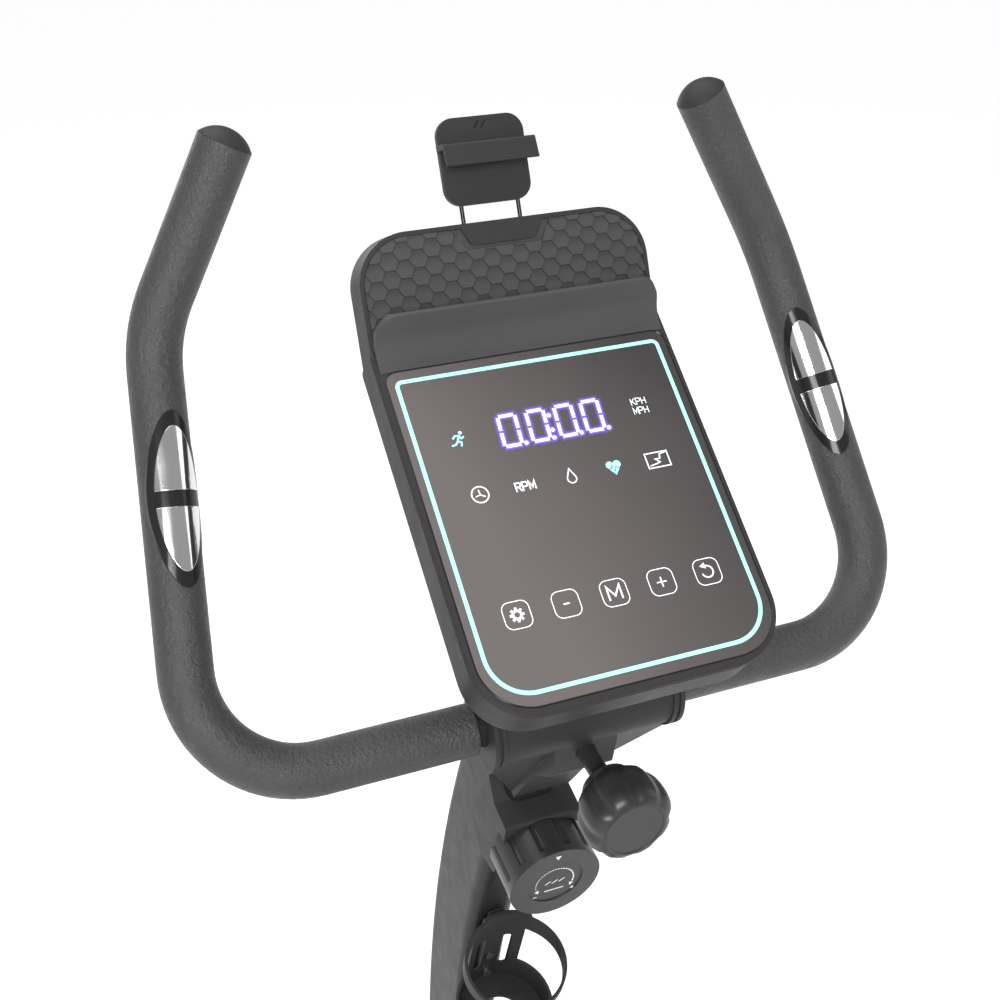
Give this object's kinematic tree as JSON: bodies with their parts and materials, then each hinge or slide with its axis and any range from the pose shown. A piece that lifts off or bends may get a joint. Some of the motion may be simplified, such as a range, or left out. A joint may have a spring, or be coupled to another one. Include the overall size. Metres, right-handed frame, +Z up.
{
  "type": "exercise bike",
  "caption": "Upright home exercise bike with curved front post, wide bent handlebar with pulse grips, sloping touch console, sliding phone holder, tension dial and bottle cage.",
  "frame": {"origin": "on the floor under the middle of the base, centre of the bounding box's underside", "axes": "+Z up, +Y forward (the way the rider faces), +X to the rider's right"},
  "size_m": [0.5104, 0.97, 1.4002],
  "materials": {
    "black_paint": "satin powder coat",
    "steel": "machined",
    "zinc": "zinc plated",
    "cast_iron": "as cast",
    "chrome": "polished",
    "case_plastic": "fine texture",
    "lip_plastic": "fine texture",
    "gloss_black": "gloss",
    "knob_plastic": "satin",
    "shroud_plastic": "satin",
    "mat_rubber": "matt",
    "foam": "matt foam",
    "rubber": "matt",
    "display": "smoked",
    "board": "solder mask",
    "saddle_cover": "soft vinyl",
    "strap": "flexible"
  },
  "bodies": {
    "frame": {"main_beam": "black_paint", "front_stabiliser": "black_paint", "rear_stabiliser": "black_paint", "stabiliser_bolts": "zinc", "front_caps": "case_plastic", "front_post": "black_paint", "clamp_rear_jaw": "black_paint", "clamp_front_jaw": "black_paint", "clamp_cover_right": "case_plastic", "clamp_cover_left": "case_plastic", "tension_hood": "case_plastic", "tension_cable": "rubber", "bottle_cage": "case_plastic", "cage_screws": "zinc", "console_back": "case_plastic", "console_bezel": "case_plastic", "display_glass": "display", "device_lip": "lip_plastic", "rack_mat": "mat_rubber", "circuit_board": "board", "drive_bracket": "black_paint", "bottom_bracket": "black_paint", "crank_bearings": "steel", "drive_axles": "steel", "belt": "rubber", "shroud_right": "shroud_plastic", "shroud_left": "shroud_plastic", "seat_tube": "black_paint", "seat_tube_bush": "case_plastic"},
    "crank": {"crank_spindle": "steel", "drive_pulley": "knob_plastic", "crank_right": "black_paint", "crank_left": "black_paint", "pedal_axles": "steel"},
    "pedal_right": {"pedal_right": "knob_plastic", "strap_right": "strap"},
    "pedal_left": {"pedal_left": "knob_plastic", "strap_left": "strap"},
    "flywheel": {"flywheel": "cast_iron"},
    "magnet_arm": {"magnet_arm": "steel"},
    "wheel_right": {"transport_wheel_right": "rubber"},
    "wheel_left": {"transport_wheel_left": "rubber"},
    "shoe_right": {"rear_cap_right": "rubber"},
    "shoe_left": {"rear_cap_left": "rubber"},
    "handlebar": {"handlebar_tube": "black_paint", "grip_right": "foam", "grip_left": "foam", "sensor_housings": "gloss_black", "sensor_plates": "chrome", "bar_end_caps": "case_plastic"},
    "t_knob": {"t_knob": "knob_plastic"},
    "tension_knob": {"tension_knob": "knob_plastic"},
    "phone_holder": {"holder_rods": "gloss_black", "holder_plate": "case_plastic"},
    "seat_post": {"seat_post": "chrome"},
    "seat_pin": {"seat_pin": "knob_plastic"},
    "saddle": {"seat_slider": "black_paint", "saddle_base": "case_plastic", "saddle_pad": "saddle_cover"},
    "slider_knob": {"slider_knob": "knob_plastic"}
  },
  "joints": [
    {"name": "crank_spin", "type": "hinge", "parent": "frame", "child": "crank", "pos_m": [0, -0.08, 0.29], "axis": [1, 0, 0], "continuous": true},
    {"name": "pedal_right_spin", "type": "hinge", "parent": "crank", "child": "pedal_right", "pos_m": [0.145, 0.085, 0.29], "axis": [1, 0, 0], "continuous": true},
    {"name": "pedal_left_spin", "type": "hinge", "parent": "crank", "child": "pedal_left", "pos_m": [-0.145, -0.245, 0.29], "axis": [1, 0, 0], "continuous": true},
    {"name": "flywheel_spin", "type": "hinge", "parent": "frame", "child": "flywheel", "pos_m": [0, 0.14, 0.29], "axis": [1, 0, 0], "continuous": true},
    {"name": "magnet_arm_turn", "type": "hinge", "parent": "frame", "child": "magnet_arm", "pos_m": [0, 0.25605, 0.357], "axis": [1, 0, 0], "range_deg": [-3.1, 3.1]},
    {"name": "tension_knob_turn", "type": "hinge", "parent": "frame", "child": "tension_knob", "pos_m": [0, 0.165, 0.876], "axis": [0, -0.9877, -0.1564], "range_deg": [-120, 120]},
    {"name": "wheel_right_spin", "type": "hinge", "parent": "frame", "child": "wheel_right", "pos_m": [0.223, 0.462, 0.027], "axis": [1, 0, 0], "continuous": true},
    {"name": "wheel_left_spin", "type": "hinge", "parent": "frame", "child": "wheel_left", "pos_m": [-0.223, 0.462, 0.027], "axis": [1, 0, 0], "continuous": true},
    {"name": "shoe_right_turn", "type": "hinge", "parent": "frame", "child": "shoe_right", "pos_m": [0.218, -0.458, 0.03], "axis": [1, 0, 0], "range_deg": [-90, 90]},
    {"name": "shoe_left_turn", "type": "hinge", "parent": "frame", "child": "shoe_left", "pos_m": [-0.218, -0.458, 0.03], "axis": [1, 0, 0], "range_deg": [-90, 90]},
    {"name": "handlebar_tilt", "type": "hinge", "parent": "frame", "child": "handlebar", "pos_m": [0, 0.104, 1.0515], "axis": [1, 0, 0], "range_deg": [-20, 20]},
    {"name": "t_knob_turn", "type": "hinge", "parent": "frame", "child": "t_knob", "pos_m": [0, 0.104, 1.0275], "axis": [0, -0.9978, -0.0663], "range_deg": [0, 180]},
    {"name": "holder_slide", "type": "slide", "parent": "frame", "child": "phone_holder", "axis": [0, 0.4067, 0.9135], "range_m": [-0.0115, 0.0586]},
    {"name": "seat_post_slide", "type": "slide", "parent": "frame", "child": "seat_post", "axis": [0, -0.1478, 0.989], "range_m": [-0.1, 0.08]},
    {"name": "seat_pin_pull", "type": "slide", "parent": "frame", "child": "seat_pin", "axis": [0, -0.989, -0.1478], "range_m": [0, 0.012], "stiffness_N_per_m": 1500, "springref_m": -0.004},
    {"name": "saddle_slide", "type": "slide", "parent": "seat_post", "child": "saddle", "axis": [0, 1, 0], "range_m": [-0.03, 0.03]},
    {"name": "slider_knob_turn", "type": "hinge", "parent": "seat_post", "child": "slider_knob", "pos_m": [0.03, -0.30808, 0.78286], "axis": [1, 0, 0], "range_deg": [0, 180]}
  ],
  "couplings": [
    {"joint": "flywheel_spin", "follows": "crank_spin", "ratio": 6.25},
    {"joint": "magnet_arm_turn", "follows": "tension_knob_turn", "ratio": 0.025}
  ]
}
